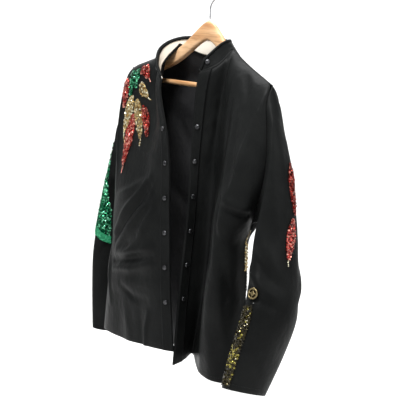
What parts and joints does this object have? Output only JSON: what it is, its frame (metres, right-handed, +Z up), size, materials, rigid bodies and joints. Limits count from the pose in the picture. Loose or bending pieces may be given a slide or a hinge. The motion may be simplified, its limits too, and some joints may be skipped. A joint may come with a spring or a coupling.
{
  "type": "sequin jacket on a wooden hanger",
  "caption": "Short black jacket with a stand collar and snap front, hanging open on a wooden hanger, trimmed with sequin pods, a sequin sleeve field and a cuff band.",
  "frame": {"origin": "inner top of the hanger hook's bow, where a rail carries it", "axes": "+Z up, the wearer's front faces -Y, the wearer's left is +X"},
  "size_m": [0.686, 0.2077, 0.8145],
  "materials": {
    "cloth": "black soft twill with a slight sheen",
    "cream": "cream plain weave, matte",
    "snap": "satin nickel snap caps",
    "gold": "antique gold sequins and button",
    "green": "glossy green sequins",
    "red": "glossy red sequins",
    "wood": "clear satin lacquer",
    "steel": "bright plated wire"
  },
  "bodies": {
    "root": {"back": "cloth", "collar": "cloth", "collar_facing": "cream", "cuff_band": "gold", "cuff_button": "gold", "front_left": "cloth", "front_right": "cloth", "green_field": "green", "green_strip": "green", "hanger_bar": "wood", "hanger_hook": "steel", "hanger_wood": "wood", "leaf_green_1": "green", "leaf_green_2": "green", "placket_left": "cloth", "placket_right": "cloth", "pod_gold_1": "gold", "pod_gold_2": "gold", "pod_gold_3": "gold", "pod_red_1": "red", "pod_red_2": "red", "pod_red_3": "red", "pod_red_4": "red", "pod_red_5": "red", "pod_red_6": "red", "side_strip": "gold", "sleeve_left": "cloth", "sleeve_right": "cloth", "snap_cuff": "snap", "snap_left_1": "snap", "snap_left_2": "snap", "snap_left_3": "snap", "snap_left_4": "snap", "snap_left_5": "snap", "snap_left_6": "snap", "snap_left_collar": "snap", "snap_right_1": "snap", "snap_right_2": "snap", "snap_right_3": "snap", "snap_right_4": "snap", "snap_right_5": "snap", "snap_right_6": "snap", "snap_right_collar": "snap"}
  },
  "joints": []
}
